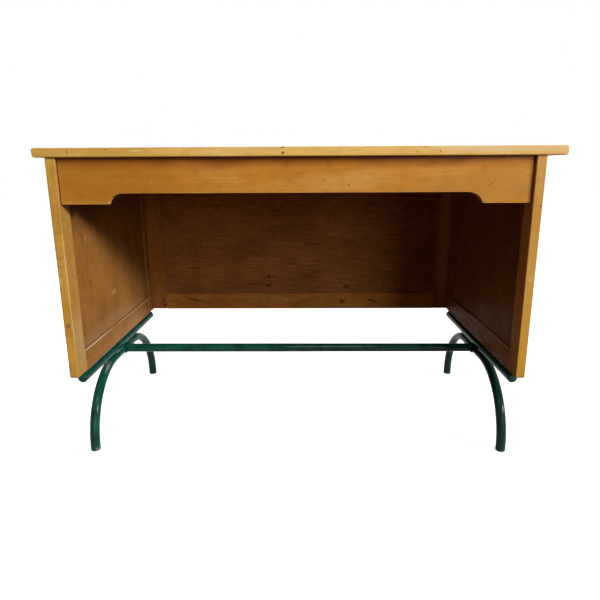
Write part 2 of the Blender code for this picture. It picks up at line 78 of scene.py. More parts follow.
# %% Camera
CAMERA_PLACE = (0.0159, -1.4724, 0.7327)
CAMERA_TURN = 0.708
CAMERA_TILT = 13.407
CAMERA_ROLL = -0.293
LENS = 30.368
CROP_SHIFT = -0.0187

camera_data = bpy.data.cameras.new("camera")
camera_data.sensor_width = 36
camera_data.lens = LENS
camera_data.shift_y = CROP_SHIFT
camera_data.clip_start = 0.05
camera = bpy.data.objects.new("camera", camera_data)
bpy.context.scene.collection.objects.link(camera)
aim = Euler((math.radians(90 - CAMERA_TILT), 0, math.radians(CAMERA_TURN))).to_matrix()
camera.rotation_euler = (aim @ Matrix.Rotation(math.radians(CAMERA_ROLL), 3, "Z")).to_euler()
camera.location = CAMERA_PLACE
bpy.context.scene.camera = camera
bpy.context.scene.view_settings.view_transform = "Standard"
print("camera at", CAMERA_PLACE, "with a lens of", LENS, "mm")

# %% [markdown]
# ## Colours and nodes
#
# Colours are picked as hex codes, as on a paint card, but a shader computes with linear light. One
# function turns the first into the second. Another feeds a node's inputs with values or with other
# nodes' outputs, and a third adds a node with its settings and feeds it.

# %% Colour and node helpers


def shade(code):
    """A hex colour as the linear red, green, blue and alpha that a shader takes."""
    channels = [int(code[at : at + 2], 16) / 255 for at in (1, 3, 5)]
    return [c / 12.92 if c <= 0.04045 else ((c + 0.055) / 1.055) ** 2.4 for c in channels] + [1.0]


def feed(tree, node, inputs):
    """Gives inputs of a node, by name or number, a value or the output of another node."""
    for name, value in inputs.items():
        if isinstance(value, bpy.types.NodeSocket):
            tree.links.new(value, node.inputs[name])
        else:
            node.inputs[name].default_value = value


def add(tree, kind, inputs, out=0, **settings):
    """Adds a node with its settings and feeds it. One of its outputs comes back."""
    made = tree.nodes.new("ShaderNode" + kind)
    for name, value in settings.items():
        setattr(made, name, value)
    feed(tree, made, inputs)
    return made.outputs[out]


def new_material(name):
    """A material to fill: with it come its tree, its surface shader and the place in metres."""
    material = bpy.data.materials.new(name)
    material.use_nodes = True
    tree = material.node_tree
    print("material:", name)
    return material, tree, tree.nodes["Principled BSDF"], add(tree, "TexCoord", {}, "Object")


# %% [markdown]
# ## Floor and surroundings
#
# The photo is a cut-out on white. The floor is a wide pale sheet. What the camera, a reflection or a
# glass sees of it is lifted to white, a little less near the desk, so that a faint shadow stays there.
# What it throws back onto the desk is brown and far darker, or the underside would glow. The world
# does the same: white to look at, dim as a light.

# %% Floor and world
FLOOR_SIZE = 24
FLOOR_LIFT = 0.74
WHITE_FROM = (1.2, 3.5)
WHITE = "#FFFFFF"
FLOOR_SEEN = "#F4F4F2"
FLOOR_BOUNCE = "#54402E"
ROOM_LIGHT = 0.06


def looked_at(tree):
    """1 where a camera, glossy or transmission ray arrives, and 0 for light on its way to the desk."""
    path = add(tree, "LightPath", {}).node.outputs
    seen = add(tree, "Math", {0: path["Is Camera Ray"], 1: path["Is Glossy Ray"]}, operation="MAXIMUM")
    return add(tree, "Math", {0: seen, 1: path["Is Transmission Ray"]}, operation="MAXIMUM")


bpy.ops.mesh.primitive_plane_add(size=FLOOR_SIZE)
floor = bpy.context.object
floor.name = "floor"
# Matt paper mirrors nothing, so the ground reads as plain white with only a soft shadow on it.
paper, tree, plain_shader, place = new_material("matt white paper")
tree.nodes.remove(plain_shader)
distance = add(tree, "VectorMath", {0: place}, "Value", operation="LENGTH")
limits = {"From Min": WHITE_FROM[0], "From Max": WHITE_FROM[1], "To Min": FLOOR_LIFT, "To Max": 1.0}
strength = add(tree, "MapRange", {"Value": distance, **limits}, interpolation_type="SMOOTHSTEP")
lift = add(tree, "Emission", {"Color": shade(WHITE), "Strength": strength})
shown = add(tree, "AddShader", {0: lift, 1: add(tree, "BsdfDiffuse", {"Color": shade(FLOOR_SEEN)})})
bounce = add(tree, "BsdfDiffuse", {"Color": shade(FLOOR_BOUNCE)})
surface = add(tree, "MixShader", {0: looked_at(tree), 1: bounce, 2: shown})
feed(tree, tree.nodes["Material Output"], {"Surface": surface})
floor.data.materials.append(paper)

world = bpy.data.worlds.new("white studio")
bpy.context.scene.world = world
world.use_nodes = True
tree = world.node_tree
strength = add(tree, "MapRange", {"Value": looked_at(tree), "To Min": ROOM_LIGHT, "To Max": 1.0})
feed(tree, tree.nodes["Background"], {"Color": shade(WHITE), "Strength": strength})
print("floor of", FLOOR_SIZE, "m, room light at", ROOM_LIGHT)

# %% [markdown]
# ## Lamps
#
# In the photo a slanting shadow of the apron crosses the left side panel, and the right one is nearly
# black. The slope of that shadow and where it ends give the main light: a low window far round to
# the right. The back panel is lighter low down on its left, so a weaker window stands between that one
# and the camera. The apron's top lies in a deeper shadow of the overhang, so a third light comes from
# high behind the camera. A last lamp behind the desk only opens up the back and the left side.

# %% Lamps


def lamp(name, place, target, width, height, power):
    """A rectangular area lamp that faces a target."""
    data = bpy.data.lights.new(name, "AREA")
    data.shape = "RECTANGLE"
    data.size = width
    data.size_y = height
    data.energy = power
    obj = bpy.data.objects.new(name, data)
    obj.location = place
    obj.rotation_euler = (Vector(target) - Vector(place)).to_track_quat("-Z", "Y").to_euler()
    bpy.context.scene.collection.objects.link(obj)


KNEEHOLE = (0.0, 0.0, 0.45)
LEFT_PANEL = (-0.55, 0.1, 0.45)
lamp("right_window", (9.65, -5.20, 3.85), LEFT_PANEL, 1.8, 1.5, 1400)
lamp("front_window", (4.10, -8.85, 2.50), KNEEHOLE, 2.6, 3.8, 200)
lamp("high_window", (0.3, -3.3, 3.8), KNEEHOLE, 1.1, 0.7, 52)
lamp("back_fill", (-2.2, 2.6, 2.2), KNEEHOLE, 1.6, 1.2, 60)

# %% [markdown]
# ## Patterns
#
# A pattern is a number between 0 and 1 over the surface, from noise, cells or a distance. It becomes
# a feature when a colour is laid over another one where the number is high, and a material is a stack
# of such layers. Noise for wood is pulled out along the grain, and its size is given in millimetres.
# A mark is one layer at one place: a knot, a crack, a scratch or a stain.

# %% Pattern helpers
MM = 0.001
GRAIN_TURN = {
    "x": (0.0, 0.0, 0.0),
    "y": (0.0, 0.0, math.radians(-90)),
    "z": (0.0, math.radians(90), 0.0),
}
UPRIGHT = (0.0, 0.0, 0.0)
# The ragged pattern moves a mark's rim by up to a quarter of its reach, and a mark is full inside
# this part of it.
RAGGED = 0.5
MARK_CORE = 0.35
# Noise seldom leaves this span, so the roughness runs over its whole range there.
NOISE_SPAN = (0.3, 0.7)
LINE_SHARPNESS = 3.0


def lay(tree, under, tint, pattern, start, end, most=1.0):
    """Lays a hex colour over another: none where the pattern is at start, the most at end."""
    limits = {"Value": pattern, "From Min": start, "From Max": end, "To Max": most}
    share = add(tree, "MapRange", limits, interpolation_type="SMOOTHSTEP")
    return add(tree, "Mix", {"Factor": share, 6: under, 7: shade(tint)}, 2, data_type="RGBA")


def lay_all(tree, base, layers):
    """Lays a stack over a hex colour: for each layer its colour, pattern, start, end and share."""
    colour = shade(base)
    for tint, pattern, start, end, most in layers:
        colour = lay(tree, colour, tint, pattern, start, end, most)
    return colour


def stretched(tree, along, length, width, detail=2.0, kind="TexNoise"):
    """A noise or cell pattern of so many millimetres along the grain and across it."""
    scale = (1000 / length, 1000 / width, 1000 / width)
    pulled = add(tree, "VectorMath", {0: along, 1: scale}, operation="MULTIPLY")
    return add(tree, kind, {"Vector": pulled, "Scale": 1.0, "Detail": detail})


def from_mark(tree, place, centre, reach, turn, ragged):
    """0 in the middle of a mark and 1 at its rim, which the ragged pattern breaks up."""
    inputs = {"Vector": place, "Location": centre, "Rotation": turn, "Scale": reach}
    local = add(tree, "Mapping", inputs, vector_type="TEXTURE")
    away = add(tree, "VectorMath", {0: local}, "Value", operation="LENGTH")
    broken = add(tree, "Math", {0: ragged, 1: RAGGED, 2: away}, operation="MULTIPLY_ADD")
    return add(tree, "Math", {0: broken, 1: RAGGED / 2}, operation="SUBTRACT")


def lay_marks(tree, colour, marks, place, ragged):
    """Lays marks, each with its centre, reach, colour and share, and its turn if it slants."""
    for centre, reach, tint, share, *turn in marks:
        away = from_mark(tree, place, centre, reach, turn[0] if turn else UPRIGHT, ragged)
        colour = lay(tree, colour, tint, away, 1.0, MARK_CORE, share)
    return colour


def finish_surface(tree, surface, colour, patch, roughness, others):
    """Feeds the surface its colour, a roughness that follows the patches, and its other inputs."""
    names = ("From Min", "From Max", "To Min", "To Max")
    limits = dict(zip(names, (*NOISE_SPAN, *roughness)))
    rough = add(tree, "MapRange", {"Value": patch, **limits})
    feed(tree, surface, {"Base Color": colour, "Roughness": rough, **others})


# %% [markdown]
# ## Varnished beech
#
# Beech is a pale, dense wood. Its growth rings show as soft bands, its fibres as fine streaks along
# the board, and its rays as short darker dashes. Old varnish turns it honey or amber, unevenly. Its
# shine is a thin clear coat, which covers about an eighth of the outer wood and hardly any of the
# wood in the kneehole, where the varnish has gone matt.
#
# A board is a slice of a trunk. So the pattern is solid: it measures how far each point lies from the
# heart of the tree, and every so many millimetres of that distance make a ring. Faces, edges and ends
# of a board then agree by themselves. Each board carries the place of its own heart as an attribute,
# and a second attribute, arris, is 1 along its worn edges and 0 on its flats.

# %% Beech pattern
RING = 5.5 * MM
RING_WANDER = 7 * MM
TAPER = 0.035
YEARS = 45.0
# Real fibres and rays are a fraction of a millimetre wide, too fine to show in a picture of the whole
# desk. They are drawn coarser, in millimetres along and across the grain.
FIBRE = (70, 2.6)
FLECK = (9, 2.4)
RAY = "#7A4A20"
DENT = "#4A2A12"
# A dent may lie in each of so many cells to the metre, and this share of them stayed sound.
DENT_CELLS = 38.0
SOUND_SHARE = 0.82
# The shares of the surface that the gloss covers, the shine of the body under it, and its index.
GLOSS = 0.12
MATT = 0.02
BARE = 0.006
GLASSY = 1.5
VARNISH_ROUGHNESS = 0.32


def rings(tree, along):
    """Growth rings round the heart: a line that ends each ring, and lighter and darker years."""
    wander = stretched(tree, along, 420, 55, 1.5)
    across = add(tree, "VectorMath", {0: along, 1: (TAPER, 1.0, 1.0)}, operation="MULTIPLY")
    distance = add(tree, "VectorMath", {0: across}, "Value", operation="LENGTH")
    moved = add(tree, "Math", {0: wander, 1: 2 * RING_WANDER, 2: distance}, operation="MULTIPLY_ADD")
    turns = add(tree, "Math", {0: moved, 1: RING}, operation="DIVIDE")
    part = add(tree, "Math", {0: turns}, operation="FRACT")
    line = add(tree, "Math", {0: part, 1: LINE_SHARPNESS}, operation="POWER")
    years = add(tree, "TexNoise", {"W": moved, "Scale": YEARS, "Detail": 1.0}, noise_dimensions="1D")
    return line, years


def clear_coat(weight, roughness, index=GLASSY):
    """Inputs for a shine that a thin clear coat gives, over a body that hardly shines by itself."""
    body = {"IOR": GLASSY, "Specular IOR Level": BARE}
    return {**body, "Coat Weight": weight, "Coat Roughness": roughness, "Coat IOR": index}


def beech(name, grain, pale, deep, amber, arris_tint, marks=(), streaks=0.35, gloss=GLOSS):
    """Varnished beech whose grain runs along one axis, with its marks in desk coordinates."""
    material, tree, surface, place = new_material(name)
    heart = add(tree, "Attribute", {}, "Vector", attribute_name="heart")
    from_heart = add(tree, "VectorMath", {0: place, 1: heart}, operation="SUBTRACT")
    along = add(tree, "Mapping", {"Vector": from_heart, "Rotation": GRAIN_TURN[grain]})
    line, years = rings(tree, along)
    fibre = stretched(tree, along, *FIBRE, 3.0)
    patch = stretched(tree, along, 120, 45, 3.0)
    blotch = stretched(tree, place, 26, 17, 2.0)
    fleck = stretched(tree, along, *FLECK, 0.0, "TexVoronoi")
    arris = add(tree, "Attribute", {}, "Fac", attribute_name="arris")
    arris_patches = add(tree, "Math", {0: arris, 1: patch}, operation="MULTIPLY")
    cells = add(tree, "TexVoronoi", {"Vector": place, "Scale": DENT_CELLS}).node.outputs
    chosen = add(tree, "SeparateColor", {0: cells["Color"]})
    sound = add(tree, "Math", {0: chosen, 1: SOUND_SHARE}, operation="LESS_THAN")
    dent = add(tree, "Math", {0: sound, 1: cells["Distance"]}, operation="ADD")
    layers = (
        (deep, years, 0.35, 0.70, 0.50),
        (amber, patch, 0.38, 0.62, 0.85),
        (pale, blotch, 0.50, 0.72, 0.45),
        (deep, blotch, 0.48, 0.28, 0.45),
        (deep, fibre, 0.35, 0.75, streaks),
        (deep, line, 0.00, 1.00, 0.25),
        (RAY, fleck, 0.30, 0.12, 0.20),
        (arris_tint, arris_patches, 0.25, 0.55, 0.60),
        (DENT, dent, 0.075, 0.03, 0.55),
    )
    colour = lay_marks(tree, lay_all(tree, pale, layers), marks, place, patch)
    height = add(tree, "Math", {0: line, 1: 0.4, 2: fibre}, operation="MULTIPLY_ADD")
    bump = add(tree, "Bump", {"Height": height, "Distance": 0.12 * MM, "Strength": 0.4})
    others = {"Normal": bump, **clear_coat(gloss, VARNISH_ROUGHNESS)}
    finish_surface(tree, surface, colour, patch, (0.38, 0.52), others)
    return material


# %% [markdown]
# The timber isn't one batch. The tabletop is palest, the outer frame is honey, the rails inside the
# kneehole have gone brown, the back is redder, and the apron is amber with painted shade under the
# overhang.
# Each colour set is a pale wood, a dark one, the varnish's own tint and the tint of its edges: worn
# on most boards, and a painted highlight on the inside rails.

# %% Colour sets of the beech
TOP_COLOURS = ("#E8C072", "#C29448", "#DAAA52", "#C89A4C")
HONEY = ("#CC9E4A", "#A6762C", "#BE8830", "#A67C38")
TAN = ("#B48846", "#92682C", "#A4762E", "#A07A40")
BROWN = ("#A0703A", "#784C20", "#8E5C2A", "#8C6444")
# The rails' pale grey edge tint is a painted highlight along their top arris.
RAIL_BROWN = ("#A0703A", "#784C20", "#8E5C2A", "#AC8A70")
RED_BROWN = ("#CC8A40", "#985E28", "#B8742E", "#B07C3C")
DARK_RED = ("#B0703A", "#80501E", "#9C5E20", "#946030")
AMBER = ("#CA8C3A", "#A06A22", "#BC7A28", "#D09A54")
print("8 colour sets, from", TOP_COLOURS[0], "to", AMBER[0])

# %% [markdown]
# The marks that stand out have their own places: knots and nicks on the top's edge, spots, worn
# patches and a painted highlight on the front stiles. Each has its centre and its reach in metres, its
# colour and its share. Wide weak ones make a board paler or darker from one end to the other. On the
# top's edge they paint the window's light: paler towards the right end and along the upper arris, and
# darker at the left end.

# %% Marks on the top and the front stiles
TOP_MARKS = (
    # Painted light on the top's edge: paler towards the right end and along the upper arris, darker left.
    ((0.48, -0.325, 0.776), (0.30, 0.03, 0.014), "#E0C498", 0.55),
    ((-0.50, -0.325, 0.765), (0.22, 0.03, 0.03), "#BE8E3C", 0.5),
    ((0.06, -0.325, 0.770), (0.34, 0.03, 0.02), "#ECC87A", 0.3),
    ((-0.0345, -0.325, 0.7655), (0.0045, 0.02, 0.0050), "#3E2410", 0.85),
    ((-0.0350, -0.325, 0.7772), (0.0060, 0.02, 0.0025), "#4A2C12", 0.8),
    ((0.0750, -0.325, 0.7665), (0.0300, 0.02, 0.0014), "#98702E", 0.6),
    ((0.1250, -0.325, 0.7705), (0.0220, 0.02, 0.0014), "#98702E", 0.6),
    ((0.2600, -0.325, 0.7665), (0.0035, 0.02, 0.0035), "#6A4420", 0.6),
    ((0.2770, -0.325, 0.7765), (0.0035, 0.02, 0.0025), "#6A4420", 0.6),
    ((0.3100, -0.325, 0.7670), (0.0035, 0.02, 0.0035), "#6A4420", 0.6),
    ((-0.510, -0.325, 0.7698), (0.0016, 0.01, 0.006), "#6E4A28", 0.8),
    ((-0.425, -0.325, 0.7736), (0.005, 0.01, 0.002), "#7A5428", 0.7),
    ((-0.358, -0.325, 0.7720), (0.020, 0.01, 0.003), "#E8D48C", 0.6),
)
STILE_MARKS = (
    ((-0.5543, -0.319, 0.3673), (0.006, 0.006, 0.009), "#8A5A20", 0.7),
    ((-0.5560, -0.319, 0.4100), (0.014, 0.006, 0.045), "#C88A2C", 0.6),
    ((-0.5560, -0.319, 0.3000), (0.016, 0.006, 0.050), "#D69C3C", 0.6),
    ((0.5370, -0.319, 0.5500), (0.030, 0.010, 0.400), "#BC8C48", 0.35),
    ((-0.5610, -0.319, 0.4754), (0.003, 0.006, 0.010), "#D8C49C", 0.6),
    ((0.5432, -0.319, 0.6474), (0.0025, 0.006, 0.004), "#3A2410", 0.8),
    ((0.5367, -0.319, 0.4787), (0.005, 0.006, 0.009), "#D0B088", 0.5),
    ((0.5360, -0.319, 0.3400), (0.016, 0.006, 0.120), "#C08A28", 0.6),
    # A painted highlight along the left stile's inner edge.
    ((-0.5434, -0.3186, 0.4500), (0.0030, 0.0030, 0.260), "#E6D2A0", 0.35),
)
print(len(TOP_MARKS), "marks on the top,", len(STILE_MARKS), "on the front stiles")

# %% [markdown]
# Inside the kneehole the right bottom rail has three dark cracks, and the left one a painted
# highlight along its top edge. The rear frame has knots and stains. The apron is clean over the
# knees, has the overhang's shade painted in dark under the top, and has two fine slanting scratches
# on its right.

# %% Marks inside the kneehole and on the apron
SLANT = (0.0, -0.68, 0.0)
INNER_MARKS = (
    # A pale grey wash low on the left stile's inside face: a painted sheen of the window.
    ((-0.543, -0.290, 0.3100), (0.012, 0.060, 0.130), "#CCB290", 0.18),
)
RED_MARKS = (
    # A pale orange wash on the right stile's inside face: a painted glow of light thrown back from the
    # left.
    ((0.525, -0.300, 0.4500), (0.020, 0.060, 0.350), "#E29850", 0.9),
)
RAIL_MARKS = (
    ((0.525, 0.0633, 0.2508), (0.004, 0.0050, 0.029), "#120803", 0.95, (-0.95, 0.0, 0.0)),
    ((0.525, -0.0049, 0.2388), (0.004, 0.0034, 0.028), "#120803", 0.9, (-1.54, 0.0, 0.0)),
    ((0.525, -0.0541, 0.2601), (0.004, 0.0040, 0.048), "#120803", 0.95, (-1.16, 0.0, 0.0)),
    ((-0.543, -0.0500, 0.2500), (0.010, 0.3000, 0.026), "#A68468", 0.15),
    # A painted highlight along the front part of the left rail's top arris.
    ((-0.543, -0.2000, 0.2866), (0.004, 0.1300, 0.0030), "#DCD0BE", 0.45),
)
REAR_MARKS = (
    ((-0.5008, 0.295, 0.2701), (0.005, 0.006, 0.005), "#2A1206", 0.8),
    ((-0.4951, 0.295, 0.2520), (0.005, 0.006, 0.005), "#2A1206", 0.8),
    ((0.4865, 0.295, 0.4451), (0.011, 0.006, 0.013), "#140803", 0.9),
    ((-0.3800, 0.295, 0.2700), (0.070, 0.006, 0.0035), "#3A1C0A", 0.7, (0.0, 0.21, 0.0)),
    ((0.1450, 0.295, 0.2640), (0.016, 0.006, 0.012), "#3A1C0A", 0.7),
    ((0.2550, 0.295, 0.2660), (0.030, 0.006, 0.007), "#3A1C0A", 0.7, (0.0, 0.3, 0.0)),
    ((-0.0570, 0.295, 0.2720), (0.003, 0.006, 0.003), "#D8C8A8", 0.8),
    ((0.4977, 0.295, 0.5000), (0.030, 0.010, 0.300), "#C89058", 0.8),
)
APRON_MARKS = (
    # Darker orange over the left end: painted shade, the window's light falling off towards the left.
    ((-0.42, -0.313, 0.705), (0.24, 0.01, 0.08), "#A06416", 0.55),
    ((0.45, -0.313, 0.690), (0.25, 0.01, 0.05), "#B27C38", 0.5),
    ((0.10, -0.313, 0.706), (0.22, 0.02, 0.03), "#CC9A54", 0.3, (0.0, -0.06, 0.0)),
    ((-0.05, -0.313, 0.668), (0.36, 0.02, 0.013), "#C07C22", 0.5),
    # Painted shade of the top's overhang: a dark red-brown band under the top, darkest at the joint.
    ((0.0, -0.313, 0.7726), (1.60, 0.03, 0.0480), "#6C300E", 0.92),
    ((0.0, -0.313, 0.7650), (1.60, 0.03, 0.0130), "#4C220C", 0.9),
    ((0.0550, -0.313, 0.7080), (0.0025, 0.01, 0.0025), "#5A2E10", 0.6),
    ((0.1120, -0.313, 0.6950), (0.0025, 0.01, 0.0030), "#4A240C", 0.7),
    ((0.4285, -0.313, 0.6948), (0.013, 0.004, 0.0011), "#5A3012", 0.8, SLANT),
    ((0.4420, -0.313, 0.7060), (0.008, 0.004, 0.0007), "#7E4A20", 0.6, SLANT),
    ((-0.3324, -0.313, 0.7040), (0.008, 0.004, 0.006), "#C88A5C", 0.4),
)
print(len(REAR_MARKS), "marks on the rear frame,", len(APRON_MARKS), "on the apron")

# %% [markdown]
# Nine kinds of beech come out of one function, by their colours, their grain's direction, their marks
# and how much of the varnish's gloss they have kept.

# %% Beech of the top, the frames and the apron
# Pale and warm: the lightest wood, with a dull shine along its eased front edge.
beech_top = beech("pale varnished beech of the top", "x", *TOP_COLOURS, TOP_MARKS)
# Honey: the front faces of the front stiles, with soft brown flecks, pale worn spots and a painted
# highlight along the left stile's inner edge.
beech_front = beech("honey varnished beech of the front stiles", "z", *HONEY, STILE_MARKS)
# Tanned and matt: the same boards, a little darker and duller: painted shade on their sides.
beech_inner = beech("tanned varnished beech, sides of the stiles", "z", *TAN, INNER_MARKS, gloss=MATT)
# Brown and matt: the rear uprights, brown wood darkened further by painted shade of the kneehole.
beech_side = beech("brown varnished beech, upright", "z", *BROWN, gloss=MATT)
# Red-brown: the inside of the right stile, painted shade warmed by a painted glow of light from the
# left side, beside the nearly black panel.
beech_red = beech(
    "red-brown varnished beech, inside the right stile", "z", *RED_BROWN, RED_MARKS, gloss=MATT
)
# Brown and matt, with a pale grey arris: a painted highlight along the rails' top edge.
beech_rail = beech("brown varnished beech, front to back", "y", *RAIL_BROWN, RAIL_MARKS, gloss=MATT)
# Red-brown and matt: the rails of the back, warm in the low light, with dark stains.
rear_x = beech("red-brown varnished beech, across the back", "x", *RED_BROWN, REAR_MARKS, gloss=MATT)
# Dark red and matt: the uprights of the back, darker than its rails: painted shade of the corners.
rear_z = beech("dark red varnished beech, upright", "z", *DARK_RED, REAR_MARKS, gloss=MATT)
# Amber: a deep varnish with hardly any streaks, so that the board seems to glow, and painted shade
# of the overhang above.
apron_beech = beech("amber varnished beech of the apron", "x", *AMBER, APRON_MARKS, streaks=0.15)

# %% [markdown]
# ## Varnished plywood
#
# The panels are thin plywood, stained dark. Its face is peeled from the log like paper from a roll,
# so the rings open out into wide wandering flames. Contour lines of one stretched noise draw them.
# Dark streaks and pale pores run along the grain over the flames. The stain has no shine of its own,
# and little varnish is left on it.

# %% Plywood
# Pores and fibres are drawn coarser than the real ones, which are too fine to show.
PLY_FIBRE = (70, 2.4)
PORE = (7, 2.8)
FLAMES = 26.0
STAIN_ROUGHNESS = 0.42
DARK_STREAK = "#3E1E0A"
PALE_PORE = "#B8824A"


def plywood(name, grain, pale, deep, marks, streaks):
    """Stained plywood whose flames run along one axis."""
    material, tree, surface, place = new_material(name)
    along = add(tree, "Mapping", {"Vector": place, "Rotation": GRAIN_TURN[grain]})
    swell = stretched(tree, along, 520, 90, 1.5)
    bands = add(tree, "Math", {0: swell, 1: FLAMES}, operation="MULTIPLY")
    flame = add(tree, "Math", {0: bands}, operation="FRACT")
    line = add(tree, "Math", {0: flame, 1: LINE_SHARPNESS}, operation="POWER")
    fibre = stretched(tree, along, *PLY_FIBRE, 3.0)
    patch = stretched(tree, along, 170, 90, 4.0)
    blotch = stretched(tree, place, 30, 20, 2.0)
    pores = stretched(tree, along, *PORE, 3.0)
    layers = (
        (deep, patch, 0.30, 0.75, 0.70),
        (pale, blotch, 0.45, 0.70, 0.60),
        (deep, line, 0.00, 1.00, streaks),
        (DARK_STREAK, fibre, 0.40, 0.75, 1.5 * streaks),
        (PALE_PORE, pores, 0.52, 0.75, 0.36),
    )
    colour = lay_marks(tree, lay_all(tree, pale, layers), marks, place, blotch)
    bump = add(tree, "Bump", {"Height": fibre, "Distance": 0.12 * MM, "Strength": 0.5})
    others = {"Normal": bump, **clear_coat(MATT, STAIN_ROUGHNESS)}
    finish_surface(tree, surface, colour, patch, (0.42, 0.58), others)
    return material


SIDE_MARKS = (
    # Painted shadow: a dark patch that widens the apron's shadow on the left panel's upper front.
    ((-0.550, -0.2200, 0.6500), (0.010, 0.2500, 0.090), "#54341A", 0.45),
    ((-0.550, -0.1848, 0.5600), (0.004, 0.0035, 0.016), "#B08A6C", 0.6),
    ((-0.550, 0.0299, 0.5336), (0.004, 0.0040, 0.012), "#A88468", 0.6),
    ((-0.550, -0.0308, 0.3815), (0.004, 0.0260, 0.010), "#B4906E", 0.45),
    ((-0.550, 0.1742, 0.4125), (0.004, 0.0040, 0.005), "#C8A888", 0.7),
    ((-0.550, 0.0953, 0.5012), (0.004, 0.0035, 0.004), "#B08A6C", 0.6),
    ((-0.550, -0.0500, 0.2950), (0.010, 0.3000, 0.040), "#94704E", 0.5),
)
BACK_MARKS = (
    ((-0.0950, 0.302, 0.5900), (0.030, 0.006, 0.003), "#1E0C04", 0.8),
    ((-0.1200, 0.302, 0.6020), (0.016, 0.006, 0.002), "#1E0C04", 0.6),
    ((-0.3800, 0.302, 0.4100), (0.090, 0.006, 0.002), "#3A1A08", 0.6, (0.0, -0.34, 0.0)),
    ((-0.1180, 0.302, 0.3560), (0.008, 0.006, 0.007), "#2A1206", 0.7),
    ((0.1600, 0.302, 0.3180), (0.018, 0.006, 0.007), "#1E0C04", 0.7),
    ((-0.1200, 0.302, 0.3230), (0.016, 0.006, 0.007), "#2A1206", 0.6),
)
# Brown and matt, with upright flames: a dull wall that takes the shadow's edge softly.
side_ply = plywood("stained plywood of the sides", "z", "#926230", "#70461C", SIDE_MARKS, 0.15)
# Red-brown with strong level flames: the most figured wood of the desk, still without a shine.
rear_ply = plywood("stained plywood of the back", "x", "#A66A38", "#7A4A26", BACK_MARKS, 0.4)

# %% [markdown]
# ## Bare beech, enamel and steel
#
# The blocks, battens and dowels were never varnished, so they are paler and matt. The tubes are
# enamelled: a bottle-green gloss paint with the faint ripple of a dipped coat, worn through to grey
# where shoes and mops have hit it. The right legs get a deeper green: painted shade beyond what the
# lamps give them. The gloss is a clear coat of a low index, because the white all round would
# bleach the tubes' edges under a full one. The screws are plain bright steel, dulled.

# %% Bare beech, enamel and steel
GREEN = "#0E4A3C"
GREEN_DEEP = "#07342B"
WORN_PAINT = "#8E9A92"
PAINT_GLOSS = 0.3
PAINT_ROUGHNESS = 0.07
PAINT_INDEX = 1.35
PAINT_MARKS = (
    # A deeper green over the right legs: painted shade.
    ((0.5317, 0.0, 0.1000), (0.240, 0.500, 0.260), "#05291F", 0.9),
    ((-0.5418, -0.2669, 0.1128), (0.003, 0.006, 0.0025), WORN_PAINT, 0.9),
    ((-0.5380, -0.2669, 0.0060), (0.010, 0.012, 0.007), WORN_PAINT, 0.4),
    ((-0.5400, -0.1400, 0.1980), (0.010, 0.045, 0.012), WORN_PAINT, 0.6, (0.45, 0.0, 0.0)),
    ((-0.5380, -0.0700, 0.2080), (0.010, 0.060, 0.005), WORN_PAINT, 0.45),
)


def bare_beech(name):
    """Beech without varnish, with coarse fibres and a few patches that age has browned."""
    material, tree, surface, place = new_material(name)
    fibre = stretched(tree, place, 60, 3.0, 3.0)
    patch = stretched(tree, place, 55, 55, 3.0)
    layers = (("#9E764A", fibre, 0.3, 0.7, 1.0), ("#8A6036", patch, 0.4, 0.7, 0.5))
    bump = add(tree, "Bump", {"Height": fibre, "Distance": 0.15 * MM, "Strength": 0.6})
    colour = lay_all(tree, "#C09A66", layers)
    finish_surface(tree, surface, colour, patch, (0.62, 0.8), {"Normal": bump})
    return material


def enamel(name, marks):
    """Green gloss enamel with a faint ripple, two depths of green and its marks."""
    material, tree, surface, place = new_material(name)
    ripple = stretched(tree, place, 6, 6, 2.0)
    patch = stretched(tree, place, 45, 45, 4.0)
    grit = stretched(tree, place, 2.4, 2.4, 3.0)
    colour = lay(tree, shade(GREEN), GREEN_DEEP, patch, 0.35, 0.65)
    colour = lay_marks(tree, colour, marks, place, grit)
    bump = add(tree, "Bump", {"Height": ripple, "Distance": 0.1 * MM, "Strength": 0.35})
    others = {"Normal": bump, **clear_coat(PAINT_GLOSS, PAINT_ROUGHNESS, PAINT_INDEX)}
    finish_surface(tree, surface, colour, patch, (0.08, 0.16), others)
    return material


def dull_steel(name):
    """Bright steel that has dulled in small brownish spots."""
    material, tree, surface, place = new_material(name)
    patch = stretched(tree, place, 1.4, 1.4, 3.0)
    colour = lay(tree, shade("#B4B0A8"), "#857866", patch, 0.4, 0.7)
    finish_surface(tree, surface, colour, patch, (0.3, 0.5), {"Metallic": 1.0})
    return material


# Dry and matt: a flat, pale wood that never catches the light.
bare = bare_beech("bare beech")
# Glossy and almost black in the shade: narrow bright lines along the tubes give their roundness.
green = enamel("bottle green gloss enamel", PAINT_MARKS)
# Grey metal with a blurred shine, so that the screw heads stand out from the wood.
steel = dull_steel("dulled bright steel")

# %% [markdown]
# ## Modelling helpers
#
# Every board starts as a cube, a straight tube as a cylinder and a bent one as a circle. Then operators
# shape them in edit mode, as by hand. An operator acts on what is selected, so small helpers clear the
# scene's selection, select one object, or select the faces or edges that pass a test.

# %% Modelling helpers


def fresh():
    """Clears the selection, ready for a new primitive."""
    bpy.ops.object.select_all(action="DESELECT")


def select_only(obj):
    """Makes an object the only selected one, and the active one."""
    fresh()
    obj.select_set(True)
    bpy.context.view_layer.objects.active = obj


def edit(obj):
    """Opens an object's mesh in edit mode."""
    select_only(obj)
    bpy.ops.object.mode_set(mode="EDIT")
    bpy.ops.mesh.select_mode(type="VERT")


def leave():
    """Closes edit mode."""
    bpy.ops.object.mode_set(mode="OBJECT")


